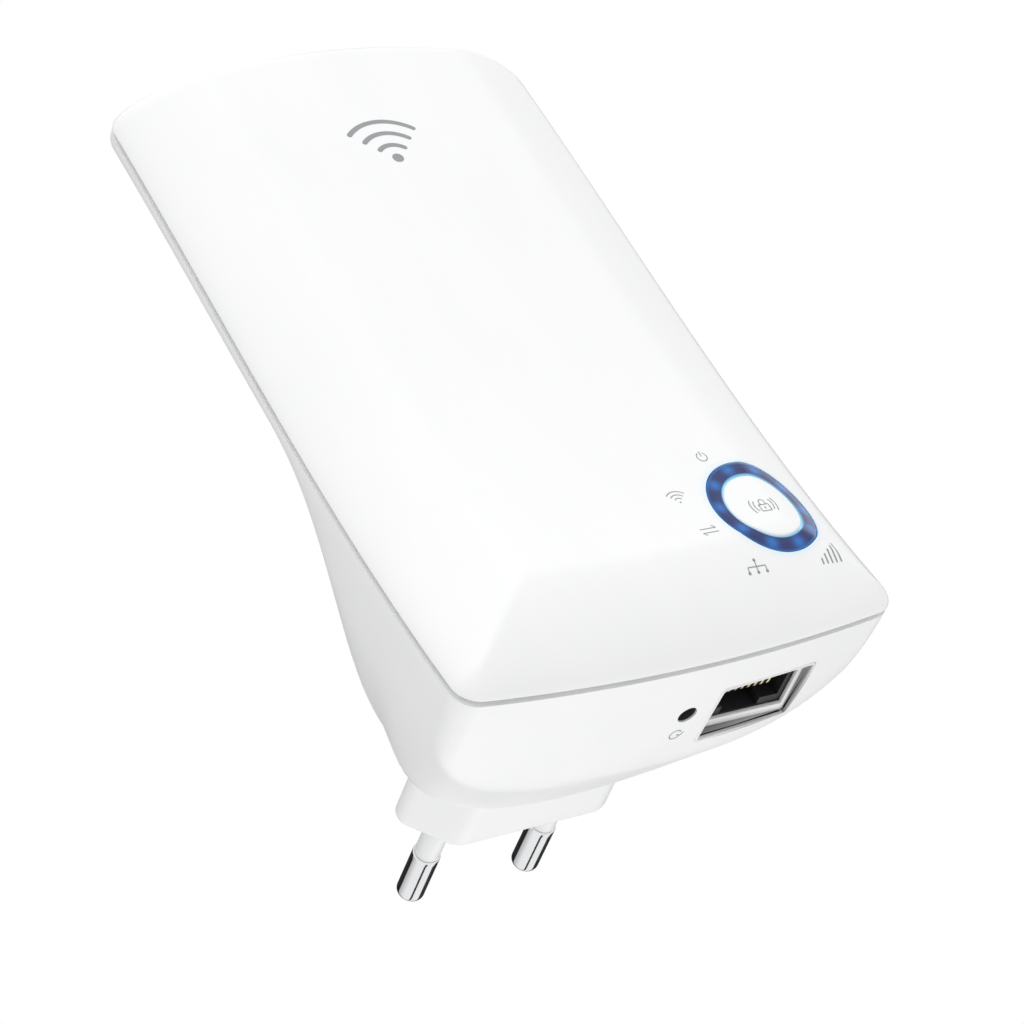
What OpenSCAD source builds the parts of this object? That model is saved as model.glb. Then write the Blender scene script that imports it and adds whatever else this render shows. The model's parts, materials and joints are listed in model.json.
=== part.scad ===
// Plug-in wireless range extender. The plug's end face, midway between its two pins, is the origin.
// +X is right as seen from the front, the front looks to -Y, the pins point to +Y, +Z is up.

/* [Body] */
// Width of the body
body_w = 66; // [60:1:80]
// Length of the body from its lowest point to its highest
body_l = 110.7; // [92:0.5:134]
// How far the bottom end bulges past its corners
bottom_bulge = 2.4; // [1.5:0.1:4]
// How far the top end bulges past its corners
top_bulge = 2.9; // [1.5:0.1:4]
// Corner radius of the body's outline
corner_r = 3.4; // [3:0.1:4]
// How far the seam at mid length lies behind its ends
seam_bow = 2; // [0:0.1:3]
// How much of that bow is shifted to the lower half
bow_shift = 1.3; // [0:0.1:1.5]
// Wall thickness of both shells
wall = 1.7; // [1.2:0.1:2.1]

/* [Front cover] */
// Height of the cover's soft edge
dome_h = 7.5; // [6.5:0.1:9]
// Extra crown of the cover at its middle line
crown_h = 1.6; // [0.5:0.1:2.5]
// Width of the soft edge at the sides and bottom
edge_w = 13.2; // [10:0.2:16]
// Width of the soft edge at the top end
top_edge_w = 2.6; // [2:0.1:4]
// Shadow gap between the two shells
seam_gap = 1; // [0.6:0.1:1.2]

/* [Rear housing] */
// Depth of the rear housing at the plug, behind the seam
housing_d = 40.9; // [34:0.1:49]
// Depth of the flat back plate behind the seam
plate_d = 2.3; // [2.2:0.1:3]
// Depth of the bottom end face
end_face_d = 21.1; // [19:0.1:24]
// Height above the pins at which the hump has run out into the plate
hump_top = 34.8; // [32:0.2:46]
// Height of the pins above the body's lowest point
pin_height = 20.1; // [18:0.1:22]

/* [Plug] */
// Spacing of the two pins
pin_spacing = 19; // [17:0.1:19.4]
// Diameter of a pin
pin_d = 4; // [3.4:0.1:4.8]
// Diameter of the insulating sleeve on a pin
sleeve_d = 3.6; // [3:0.1:3.7]
// Length of a pin in front of the plug's face
pin_l = 19; // [16:0.5:22]
// Length of the insulating sleeve
sleeve_l = 10; // [8:0.5:11]
// Width of the plug body
plug_w = 35.3; // [33:0.1:37]
// Height of the plug body
plug_h = 13.7; // [12:0.1:15]
// How far the plug body stands out of the housing
plug_out = 7.6; // [6.5:0.1:9]

/* [Button and light ring] */
// Distance of the ring's centre right of the middle
ring_x = 18.7; // [16:0.1:19.5]
// Height of the ring's centre above the body's lowest point
ring_up = 17.9; // [16:0.1:20]
// Outer radius of the light ring
ring_r = 7.8; // [6.5:0.1:9.4]
// Inner radius of the light ring
ring_in_r = 5.5; // [4.8:0.1:6]
// Travel of the button
button_travel = 0.4; // [0.2:0.05:0.6]

/* [Network jack and reset] */
// Distance of the jack's middle right of the middle
jack_x = 14.2; // [13:0.1:15]
// Width of the jack's opening
port_w = 11.8; // [10:0.1:12.4]
// Height of the jack's opening
port_h = 8.3; // [7:0.1:9]
// Width of the jack's housing
jack_w = 15; // [14:0.1:16]
// Length of the jack's housing
jack_l = 17; // [15:0.5:17.5]
// Distance of the reset hole right of the middle
reset_x = 2.4; // [1.5:0.1:3]
// Radius of the reset hole
reset_r = 1.4; // [1.2:0.1:1.7]
// Travel of the reset switch
reset_travel = 0.3; // [0.2:0.05:0.4]

/* [Boards] */
// Width of the main board
board_w = 50; // [46:1:51]
// Height of the main board
board_h = 43; // [38:1:43]
// Thickness of the boards
board_t = 1.6; // [1:0.1:2]
// Width of the power board
power_w = 36; // [33:1:38]
// Height of the power board
power_h = 25; // [22:0.5:26]

/* [Hidden] */

// Outline of the body
half_w = body_w / 2;
z_low = -pin_height;
z_high = z_low + body_l;
end_steps = 7;
corner_steps = 5;
side_steps = 10;

// Depths along Y
plug_base_y = -plug_out;
seam_y = plug_base_y - housing_d;
far_front_y = seam_y - 20;
gap = 0.1;
slip = 0.08;

// Pins: the sleeve sits on a thinner shank and starts inside the plug's face
sleeve_r = min(sleeve_d, pin_d * 0.92) / 2;
shank_r = sleeve_r * 0.82;
sleeve_seat = 2;

// Rim of the shells: the housing's lip stands inside the cover's edge
lip_in = 1.7;
lip_w = 1;
lip_h = seam_gap + 0.4;
cover_rim_w = lip_in - 0.2;
step_w = lip_in + lip_w + 0.2;

// Ring and button
ring_z = z_low + ring_up;
cap_r = ring_in_r - slip;
cap_t = 1.6;
stem_r = 2;
ring_clear = 1.6;
led_l = 1.6;
led_h = 1;

// Boards
main_front_y = seam_y + 2.4;
main_back_y = main_front_y + board_t;
main_low_z = z_low + 5.6;
power_back_y = mix(main_back_y, plug_base_y, 0.463);
power_front_y = power_back_y - board_t;
power_room = power_front_y - main_back_y;
power_low_z = z_low + 10.1;
post_r = 2.5;
screw_r = 1.1;
screw_l = 4.4;
screw_head_r = 2.1;
screw_head_h = 1.2;
post_x = board_w / 2 - 4;
post_top_z = main_low_z + board_h - 4;
post_spots = [
  [-post_x, main_low_z + 5], [-post_x, post_top_z], [post_x, post_top_z], [post_x, main_low_z + 27]
];

// Jack, its pocket and the reset hole in the bottom end
end_wall_z = z_low + 1.5;
pocket_floor_z = end_wall_z + 0.7;
pocket_t = 0.8;
jack_low_z = pocket_floor_z + pocket_t;
jack_h = port_h + 3.6;
port_front_y = main_back_y + 2.4;
port_back_y = port_front_y + port_h;
pocket_back_y = port_back_y + 2.8;
face_w = jack_w - 1.5;
face_h = port_h + 0.9;
contact_h = 1.7;
contact_slot_w = 10;
latch_w = 6.2;
latch_h = 1.4;
jack_back_t = 4;
reset_y = seam_y + 9.3;
reset_switch_low_z = end_wall_z + 5.4;

// Antenna board
antenna_front_y = seam_y - 2.6;

// Blank rating plate, on the flat part of the back above the hump
label_w = 36;
label_t = 0.25;
label_h = 0.29 * (z_high - hump_top);
label_z = (z_high + hump_top) / 2;

function smooth(t) = let(u = max(0, min(1, t))) u * u * (3 - 2 * u);
function mix(a, b, t) = a + (b - a) * t;
// Y of the seam at a height: it bows back between the two ends
function seam(z) = let(t = (z - z_low) / body_l)
  seam_y + 4 * t * (1 - t) * (seam_bow + 1.5 * bow_shift * (1 - 2 * t));

// Half an end of the outline, from the middle to the side: an arched end and a round corner
function end_half(a, bulge, r) = let(
    big_r = (a * a + bulge * bulge) / (2 * bulge), xc = a - r,
    uc = big_r - sqrt(pow(big_r - r, 2) - xc * xc), t0 = atan2(uc - big_r, xc))
  concat([for (i = [0:end_steps - 1]) let(t = mix(-90, t0, i / end_steps))
            [big_r * cos(t), big_r + big_r * sin(t)]],
         [for (i = [0:corner_steps]) let(t = t0 * (1 - i / corner_steps))
            [xc + r * cos(t), uc + r * sin(t)]]);
// The outline inset by d at the sides and bottom and by dt at the top, as [x, z] points
function outline(d, dt) = let(
    k = 1 - d / half_w, a = half_w - d,
    least = 0.4 * a / half_w + 0.4,
    low = [for (p = end_half(a, bottom_bulge * k, max(corner_r - d, least))) [p[0], z_low + d + p[1]]],
    high = [for (p = end_half(a, top_bulge * k, max(corner_r - dt, least))) [p[0], z_high - dt - p[1]]],
    n = len(low), z0 = low[n - 1][1], z1 = high[n - 1][1],
    half = concat(low, [for (i = [1:side_steps]) [a, mix(z0, z1, i / (side_steps + 1))]],
                  [for (i = [n - 1:-1:0]) high[i]]))
  concat(half, [for (i = [len(half) - 2:-1:1]) [-half[i][0], half[i][1]]]);

// How far the cover stands in front of the seam, at inset d
edge_power = 1.47;
edge_rise = dome_h + 0.3 - seam_gap;
function cover_h(x, d) = let(s = min(d / edge_w, 1))
  seam_gap + edge_rise * pow(max(1 - pow(1 - s, edge_power), 0), 1 / edge_power)
  + crown_h * s * (1 - pow(x / half_w, 2));
function top_inset(d) = d < edge_w ? d * top_edge_w / edge_w : top_edge_w + d - edge_w;
// Inset of a point of the face, for the bottom half of the cover
function inset_at(x, z) = min(half_w - abs(x), z - z_low - bottom_bulge * pow(x / half_w, 2));
function cover_y(x, z) = seam(z) - cover_h(x, inset_at(x, z));
function cover_ring(d, dt, lower) = [for (p = outline(d, dt))
  [p[0], seam(p[1]) - cover_h(p[0], d) + lower, p[1]]];

// Depth of the rear housing behind the seam: a plate, and a hump round the plug that is a hull in section
label_y = seam(label_z + label_h / 2) + plate_d - 0.2;
flat_low = -5.8;
flat_high = 2.2;
end_face_in = 1.5;
face_span = flat_low - (z_low + end_face_in);
fall_power = 1.29;
fall_root = 0.92;
plate_edge = 1.3;
hump_edge = 2;
hump_round = 2.6;
function hump(z) = let(full = housing_d - plate_d, face = end_face_d - plate_d)
  z >= flat_low ? full * smooth((hump_top - z) / (hump_top - flat_high))
  : face + (full - face)
    * pow(max(1 - pow(min((flat_low - z) / face_span, 1), fall_power), 0), 1 / fall_root);
function hull_share(x, z) = let(
    t = min(max(-z / (pin_height - end_face_in), 0), 1), p = mix(2, 2.5, t), q = mix(1.8, 2.4, t))
  pow(max(1 - pow(min(abs(x) / half_w, 1), p), 0), 1 / q);
function plate(d) = plate_d * sqrt(1 - pow(1 - min(d / plate_edge, 1), 2));
function hump_rise(d) = pow(1 - pow(1 - min(d / hump_edge, 1), hump_round), 1 / hump_round);
function rear_depth(x, z, d) = plate(d) + hump(z) * hull_share(x, z) * hump_rise(d);
function rear_ring(d) = [for (p = outline(d, d)) [p[0], seam(p[1]) + rear_depth(p[0], p[1], d), p[1]]];
function rear_inner_ring(d) = [for (p = outline(d + wall, d + wall))
  let(depth = rear_depth(p[0] * half_w / (half_w - wall), p[1], d))
  [p[0], seam(p[1]) + max(depth - wall, 0.5 * plate_d - wall), p[1]]];
function flat_ring(d, dt, off) = [for (p = outline(d, dt)) [p[0], seam(p[1]) + off, p[1]]];

// Closed skin through a list of rings, from the back to the front or back again; each end is closed across
// from side to side
module loft(rings) {
  n = len(rings[0]);
  k = len(rings);
  h = n / 2;
  last = (k - 1) * n;
  first_cap = concat([for (i = [0:h - 2]) [i + 1, n - i - 1, i]],
                     [for (i = [1:h - 1]) [n - i - 1, n - i, i]]);
  side = [for (j = [0:k - 2], i = [0:n - 1]) let(a = j * n + i, b = j * n + (i + 1) % n)
    each [[b + n, b, a], [a + n, b + n, a]]];
  last_cap = [for (f = first_cap) [f[2] + last, f[1] + last, f[0] + last]];
  polyhedron([for (r = rings) each r], concat(first_cap, side, last_cap), convexity = 8);
}

cover_insets = [0, 0.12, 0.35, 0.7, 1.2, 1.9, 2.8, 4, 5.5, 7.5, 10, 13.2, 18, 24, 29.5];
cover_inner_insets = [3.6, 4.6, 6, 8, 10.4, 13.2, 18, 24, 29];
rear_insets = [
  0, 0.03, 0.1, 0.25, 0.45, 0.7, 1, 1.3, 1.6, 2.2, 3.2, 4.6, 6.4, 8.6, 11.2, 14.4, 18, 22.4, 27, 30.5
];
rear_inner_insets = [0.35, 0.8, 1.5, 2.5, 4, 6, 8.6, 11.6, 15.4, 20, 25, 29];

module rod(x, z, r, y0, y1) {
  translate([x, y0, z]) rotate([-90, 0, 0]) cylinder(h = y1 - y0, r = r, $fn = 48);
}
module box(x0, x1, y0, y1, z0, z1) {
  translate([x0, y0, z0]) cube([x1 - x0, y1 - y0, z1 - z0]);
}
// A box with its middle at x and z and its front at y
module block(x, y, z, w, t, h) {
  translate([x - w / 2, y, z - h / 2]) cube([w, t, h]);
}
// The plug's long six-sided section, grown by g
module plug_section(g) {
  w = plug_w / 2 + g;
  h = plug_h / 2 + g;
  tip = 0.9;
  side = w - h + tip;
  polygon([[-w, -tip], [-side, -h], [side, -h], [w, -tip], [w, tip], [side, h], [-side, h], [-w, tip]]);
}
module plug_block(g, y0, y1) {
  translate([0, y1, 0]) rotate([90, 0, 0]) linear_extrude(y1 - y0) plug_section(g);
}
// The space in front of the seam that the cover's outer skin encloses, lowered by a depth
module cover_space(lower) {
  loft(concat([flat_ring(0, 0, 6)], [for (d = cover_insets) cover_ring(d, top_inset(d), lower)]));
}

module front_cover() {
  inner = concat([for (i = [len(cover_inner_insets) - 1:-1:0]) let(d = cover_inner_insets[i])
                    cover_ring(d, step_w + top_inset(d), wall)],
                 [flat_ring(step_w, step_w, -lip_h), flat_ring(cover_rim_w, cover_rim_w, -lip_h),
                  flat_ring(cover_rim_w, cover_rim_w, -seam_gap)]);
  color("white") difference() {
    union() {
      loft(concat(inner, [for (d = cover_insets) cover_ring(d, top_inset(d), 0)]));
      for (p = post_spots) rod(p[0], p[1], post_r, cover_y(p[0], p[1]) + 0.9, main_front_y);
    }
    for (p = post_spots) rod(p[0], p[1], screw_r + 0.05, main_front_y - screw_l - 0.6, main_front_y + 1);
    rod(ring_x, ring_z, ring_r + slip, far_front_y, seam_y);
  }
}
module rear_housing() {
  outer = [for (i = [len(rear_insets) - 1:-1:0]) rear_ring(rear_insets[i])];
  lip = [flat_ring(lip_in, lip_in, 0), flat_ring(lip_in, lip_in, -lip_h),
         flat_ring(lip_in + lip_w, lip_in + lip_w, -lip_h), flat_ring(lip_in + lip_w, lip_in + lip_w, -0.2)];
  inner = [for (d = rear_inner_insets) if (d > lip_in + lip_w - wall) rear_inner_ring(d)];
  color("whitesmoke") difference() {
    union() {
      loft(concat(outer, lip, inner));
      box(jack_x - jack_w / 2 - 1.2, jack_x + jack_w / 2 + 0.7, port_front_y - 1.7, pocket_back_y - 0.6,
          pocket_floor_z - 0.6, jack_low_z - gap);
    }
    // Pocket of the jack, the opening in its floor, room for the jack, the reset hole and the plug's seat
    box(jack_x - jack_w / 2 + 0.2, jack_x + jack_w / 2, port_front_y - 0.4, pocket_back_y - 1.2,
        z_low - 5, pocket_floor_z);
    box(jack_x - face_w / 2, jack_x + face_w / 2, port_front_y - 0.1, port_front_y + face_h,
        z_low - 5, jack_low_z + 1);
    box(jack_x - jack_w / 2 - gap, jack_x + jack_w / 2 + gap, main_back_y, main_back_y + jack_h + gap,
        jack_low_z - gap, jack_low_z + jack_l);
    translate([reset_x, reset_y, z_low - 5]) cylinder(h = 12, r = reset_r, $fn = 48);
    plug_block(0.05, plug_base_y - plug_in - 2, 1);
    // Flat seat of the rating plate
    block(0, label_y, label_z, label_w + 2 * gap, 5, label_h + 2 * gap);
  }
}
module light_ring() {
  color("royalblue") intersection() {
    cover_space(0.05);
    difference() {
      rod(ring_x, ring_z, ring_r, far_front_y, main_front_y - ring_clear);
      rod(ring_x, ring_z, ring_in_r, far_front_y - 1, main_front_y);
    }
  }
}
module light_baffle() {
  color("dimgray") difference() {
    rod(ring_x, ring_z, ring_in_r - 0.3, main_front_y - 3.6, main_front_y);
    rod(ring_x, ring_z, ring_in_r - 1.1, main_front_y - 4, main_front_y + 1);
    box(ring_x - 1, ring_x + 1, main_front_y - 4, main_front_y + 1, ring_z - ring_r, ring_z + ring_r);
  }
}
switch_h = 3.4;
switch_w = 6;
plunger_r = 1.7;
plunger_out = 0.8;
cap_face_y = cover_y(ring_x, ring_z);
module button_cap() {
  color("white") intersection() {
    cover_space(0.05);
    union() {
      rod(ring_x, ring_z, cap_r, far_front_y, cap_face_y + cap_t + 1.8);
      rod(ring_x, ring_z, stem_r, far_front_y, main_front_y - switch_h - plunger_out);
    }
  }
}
module button_plunger() {
  color("black")
    rod(ring_x, ring_z, plunger_r, main_front_y - switch_h - plunger_out, main_front_y - switch_h + 0.6);
}
module button_switch() {
  color("silver") difference() {
    block(ring_x, main_front_y - switch_h, ring_z, switch_w, switch_h, switch_w);
    rod(ring_x, ring_z, plunger_r + slip, main_front_y - switch_h - 1,
        main_front_y - switch_h + 0.7 + button_travel);
  }
}
reset_pin_r = 1.2;
reset_switch_w = 6.4;
reset_switch_h = 3.6;
module reset_plunger() {
  color("black") translate([reset_x, reset_y, reset_switch_low_z - 1.8])
    cylinder(h = 2.6, r = reset_pin_r, $fn = 48);
}
module reset_switch() {
  color("silver") difference() {
    box(reset_x - reset_switch_w / 2, reset_x + reset_switch_w / 2, main_back_y, reset_y + 3,
        reset_switch_low_z, reset_switch_low_z + reset_switch_h);
    translate([reset_x, reset_y, reset_switch_low_z - 1])
      cylinder(h = 1.9 + reset_travel, r = reset_pin_r + slip, $fn = 48);
  }
}
plug_in = 7;
plug_foot = 1.4;
module plug_body() {
  color("whitesmoke") difference() {
    union() {
      plug_block(0, plug_base_y - plug_in, 0);
      plug_block(-0.6, plug_base_y - plug_in - plug_foot, plug_base_y - plug_in + gap);
    }
    for (s = [-1, 1]) {
      rod(s * pin_spacing / 2, 0, shank_r, plug_base_y - plug_in - plug_foot - 1, 1);
      rod(s * pin_spacing / 2, 0, sleeve_r, -sleeve_seat, 1);
    }
  }
}
pin_tail_y = power_back_y + 0.6;
tip_r = pin_d * 0.3;
module pin(s) {
  color("silver") {
    rod(s * pin_spacing / 2, 0, shank_r, pin_tail_y, sleeve_l);
    translate([s * pin_spacing / 2, sleeve_l, 0]) rotate([-90, 0, 0]) rotate_extrude($fn = 48)
      intersection() {
        square([pin_d / 2, pin_l - sleeve_l]);
        union() {
          square([pin_d / 2, pin_l - sleeve_l - tip_r]);
          translate([pin_d / 2 - tip_r, pin_l - sleeve_l - tip_r]) circle(r = tip_r, $fn = 48);
          square([pin_d / 2 - tip_r, pin_l - sleeve_l]);
        }
      }
  }
}
module pin_sleeve(s) {
  color("gainsboro") difference() {
    rod(s * pin_spacing / 2, 0, sleeve_r, -sleeve_seat, sleeve_l);
    rod(s * pin_spacing / 2, 0, shank_r, -sleeve_seat - 1, sleeve_l + 1);
  }
}
clip_w = 5.2;
module pin_clips() {
  color("goldenrod") for (s = [-1, 1]) difference() {
    block(s * pin_spacing / 2, power_back_y, 0, clip_w, 1.4, clip_w);
    rod(s * pin_spacing / 2, 0, shank_r, power_back_y - 1, 0);
  }
}
module jack_housing() {
  color([0.08, 0.08, 0.09]) difference() {
    box(jack_x - jack_w / 2, jack_x + jack_w / 2, main_back_y, main_back_y + jack_h,
        jack_low_z, jack_low_z + jack_l);
    box(jack_x - port_w / 2, jack_x + port_w / 2, port_front_y + contact_h, port_back_y - latch_h,
        jack_low_z - 1, jack_low_z + jack_l - jack_back_t);
    box(jack_x - latch_w / 2, jack_x + latch_w / 2, port_back_y - latch_h - 0.1, port_back_y,
        jack_low_z - 1, jack_low_z + jack_l - jack_back_t - 2);
    box(jack_x - contact_slot_w / 2, jack_x + contact_slot_w / 2, port_front_y + 0.3,
        port_front_y + contact_h + 0.1, jack_low_z - 1, jack_low_z + jack_l - jack_back_t);
  }
}
contact_pitch = 1.02;
contact_w = 0.4;
contact_in = 1.2;
module jack_contacts() {
  color("gold") for (i = [0:7])
    translate([jack_x + (i - 3.5) * contact_pitch - contact_w / 2, port_front_y + 0.5,
               jack_low_z + contact_in])
      cube([contact_w, contact_w, jack_l - jack_back_t - contact_in]);
}
module main_board() {
  color("darkgreen") difference() {
    box(-board_w / 2, board_w / 2, main_front_y, main_back_y, main_low_z, main_low_z + board_h);
    for (p = post_spots) rod(p[0], p[1], screw_r + 0.15, main_front_y - 1, main_back_y + 1);
  }
}
module board_screws() {
  color("silver") for (p = post_spots) difference() {
    union() {
      rod(p[0], p[1], screw_r, main_front_y - screw_l, main_back_y);
      rod(p[0], p[1], screw_head_r, main_back_y, main_back_y + screw_head_h);
    }
    for (a = [0, 90]) translate([p[0], main_back_y + screw_head_h, p[1]]) rotate([0, a, 0])
      cube([2.6, 1, 0.5], center = true);
  }
}
led_count = 10;
module status_leds() {
  color("lightyellow") for (i = [0:led_count - 1]) translate([ring_x, main_front_y, ring_z])
    rotate([0, i * 360 / led_count, 0]) translate([(ring_r + ring_in_r - led_l) / 2, -led_h, -led_h / 2])
      cube([led_l, led_h, led_h]);
}
module board_part(x, z, w, h, t, c) {
  color(c) block(x, main_front_y - t, z, w, t, h);
}
shield_x = -4;
shield_z = main_low_z + 32;
shield_w = 26;
shield_l = 20;
shield_h = 2.6;
shield_t = 0.3;
module radio_shield() {
  color("silver") difference() {
    block(shield_x, main_front_y - shield_h, shield_z, shield_w, shield_h, shield_l);
    block(shield_x, main_front_y - shield_h + shield_t, shield_z, shield_w - 2 * shield_t, shield_h + 1,
          shield_l - 2 * shield_t);
  }
}
module power_part(x, z, w, h, t, c) {
  color(c) block(x, power_front_y - t, z, w, t, h);
}
module power_controller() {
  color("black") block(11, power_back_y, power_low_z + 4, 5, 1.6, 4);
}
power_top_z = power_low_z + power_h;
module power_board() {
  color("tan") box(-power_w / 2, power_w / 2, power_front_y, power_back_y, power_low_z, power_top_z);
}
core_z = power_top_z - 8;
core_x = -1.6;
core_w = 16;
core_l = 13;
core_h = 0.85 * power_room;
window_x = 4.4;
window_w = 3.6;
window_low = 2;
window_h = core_h - 4;
coil_l = 18;
coil_gap = 0.2;
module transformer_core() {
  color("dimgray") difference() {
    block(core_x, power_front_y - core_h, core_z, core_w, core_h, core_l);
    for (s = [-1, 1])
      block(core_x + s * window_x, power_front_y - window_low - window_h, core_z,
            window_w, window_h, core_l + 2);
  }
}
module transformer_winding() {
  coil_y = power_front_y - window_low - window_h + coil_gap;
  coil_h = window_h - 2 * coil_gap;
  color("gold") difference() {
    block(core_x, coil_y, core_z, 2 * window_x + window_w - 2 * coil_gap, coil_h, coil_l);
    block(core_x, coil_y - 1, core_z, core_w + 1, coil_h + 2, core_l + coil_gap);
  }
  color("gold") for (s = [-1, 1])
    block(core_x + s * window_x, coil_y, core_z, window_w - 2 * coil_gap, coil_h, core_l + coil_gap);
}
module input_capacitor() {
  color("black") rod(-13.7, core_z - 1, 3.8, power_front_y - 0.8 * power_room, power_front_y);
}
module output_capacitor() {
  color("black") rod(12.2, core_z + 1, 3.2, power_front_y - 0.65 * power_room, power_front_y);
}
module mains_fuse() {
  color("saddlebrown") rod(-13.5, power_low_z + 4, 2.6, power_front_y - 7, power_front_y);
}
module mains_choke() {
  color("darkorange") rod(-6.5, power_low_z + 3.6, 3.2, power_front_y - 0.55 * power_room, power_front_y);
}
module board_link() {
  color("black") for (i = [0:3]) rod(-15.5 + i * 2.2, main_low_z + 14, 0.4, main_back_y, power_front_y);
}
antenna_w = 52;
antenna_t = 0.8;
antenna_low_z = main_low_z + board_h + 7;
antenna_top_z = z_high - 8;
element_w = 16;
element_t = 0.3;
track_w = 3;
cable_r = 0.6;
cable_low_z = main_low_z + board_h - 8;
cable_high_z = antenna_low_z + 2;
module antenna_board() {
  color("darkgreen") box(-antenna_w / 2, antenna_w / 2, antenna_front_y, antenna_front_y + antenna_t,
                         antenna_low_z, antenna_top_z);
}
module antenna_elements() {
  bar_z = antenna_top_z - 5;
  color("gold") for (s = [-1, 1])
    translate([s * (antenna_w / 2 - 11) - element_w / 2, antenna_front_y - element_t, 0]) {
    box(0, element_w, 0, element_t, bar_z - track_w, bar_z);
    for (x = [0, element_w / 2 - track_w / 2, element_w - track_w])
      box(x, x + track_w, 0, element_t, antenna_low_z + 3, bar_z - track_w);
  }
}
module antenna_cables() {
  color("black") for (s = [-1, 1]) translate([s * 11, antenna_front_y - cable_r - 0.1, cable_low_z])
    cylinder(h = cable_high_z - cable_low_z, r = cable_r, $fn = 24);
}
module insulation_sheet() {
  color("lightgray")
    box(jack_x - jack_w / 2 - 2, jack_x + 6, main_back_y + jack_h, main_back_y + jack_h + 0.4,
        power_low_z, power_low_z + 10);
}
module rating_plate() {
  color("silver") block(0, label_y, label_z, label_w, label_t, label_h);
}

front_cover();
rear_housing();
light_ring();
light_baffle();
button_cap();
button_plunger();
button_switch();
reset_plunger();
reset_switch();
plug_body();
pin(-1);  // left_pin
pin(1);  // right_pin
pin_sleeve(-1);  // left_pin_sleeve
pin_sleeve(1);  // right_pin_sleeve
pin_clips();
jack_housing();
jack_contacts();
main_board();
board_screws();
status_leds();
radio_shield();
board_part(shield_x - 5, shield_z + 2, 12, 12, 1.3, "black");  // main_chip
board_part(shield_x + 6, shield_z - 5.5, 9, 7, 1.2, "black");  // memory_chip
board_part(shield_x + 7, shield_z + 4, 5, 3.2, 1, "silver");  // crystal
board_part(ring_x - ring_r - 4.9, main_low_z + 16.5, 7, 9, 3, "black");  // network_transformer
board_part(-10, main_low_z + 16.5, 4, 4, 1.5, "black");  // voltage_regulator
power_board();
transformer_core();
transformer_winding();
input_capacitor();
output_capacitor();
power_part(0.2, power_low_z + 4, 6, 6, 2.4, "black");  // bridge_rectifier
power_controller();
mains_fuse();
mains_choke();
board_link();
antenna_board();
antenna_cables();
antenna_elements();
insulation_sheet();
rating_plate();
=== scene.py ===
"""Looks of a plug-in wireless range extender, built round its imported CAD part. Metres throughout."""

import json
import math

import bmesh
import bpy
from mathutils import Matrix, Vector
from mathutils.bvhtree import BVHTree
from mathutils.interpolate import poly_3d_calc


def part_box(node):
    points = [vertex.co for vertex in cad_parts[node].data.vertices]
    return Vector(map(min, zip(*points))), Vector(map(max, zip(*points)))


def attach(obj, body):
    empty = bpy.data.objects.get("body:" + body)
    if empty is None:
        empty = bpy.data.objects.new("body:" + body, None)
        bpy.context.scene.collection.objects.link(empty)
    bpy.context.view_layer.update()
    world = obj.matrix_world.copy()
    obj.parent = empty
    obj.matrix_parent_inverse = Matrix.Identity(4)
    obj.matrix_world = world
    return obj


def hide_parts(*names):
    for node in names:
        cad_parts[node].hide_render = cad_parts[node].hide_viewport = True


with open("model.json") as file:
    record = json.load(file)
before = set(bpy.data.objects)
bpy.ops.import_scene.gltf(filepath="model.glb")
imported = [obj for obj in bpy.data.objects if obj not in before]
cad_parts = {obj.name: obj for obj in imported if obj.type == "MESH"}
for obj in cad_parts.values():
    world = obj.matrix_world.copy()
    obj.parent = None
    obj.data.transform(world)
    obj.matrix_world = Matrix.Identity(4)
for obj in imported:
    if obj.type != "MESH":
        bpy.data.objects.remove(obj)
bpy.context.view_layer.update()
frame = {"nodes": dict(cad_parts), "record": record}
MM = 0.001

# ---------------------------------------------------------------- sizes in millimetres, from the CAD boxes


def span(node):
    """Lowest and highest corner of a CAD node in millimetres."""
    low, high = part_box(node)
    return low / MM, high / MM


cover_lo, cover_hi = span("front_cover")
ring_lo, ring_hi = span("light_ring")
cap_lo, cap_hi = span("button_cap")
plug_lo, plug_hi = span("plug_body")
pin_lo, pin_hi = span("right_pin")
sleeve_lo, sleeve_hi = span("right_pin_sleeve")
jack_lo, jack_hi = span("jack_housing")
board_lo, board_hi = span("main_board")
key_lo, key_hi = span("reset_plunger")
label_lo, label_hi = span("rating_plate")

HALF_W = cover_hi.x
Z_LOW = cover_lo.z
Z_HIGH = cover_hi.z
BODY_L = Z_HIGH - Z_LOW
PIN_HEIGHT = -Z_LOW
RING_X = (ring_lo.x + ring_hi.x) / 2
RING_Z = (ring_lo.z + ring_hi.z) / 2
RING_R = (ring_hi.x - ring_lo.x) / 2
CAP_R = (cap_hi.x - cap_lo.x) / 2
RING_IN_R = CAP_R + 0.08
PIN_X = (pin_lo.x + pin_hi.x) / 2
PIN_R = (pin_hi.x - pin_lo.x) / 2
PIN_END = pin_hi.y
SLEEVE_R = (sleeve_hi.x - sleeve_lo.x) / 2
SLEEVE_END = sleeve_hi.y
JACK_X = (jack_lo.x + jack_hi.x) / 2
RESET_X = (key_lo.x + key_hi.x) / 2
RESET_Y = (key_lo.y + key_hi.y) / 2
RESET_R = 1.4

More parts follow.
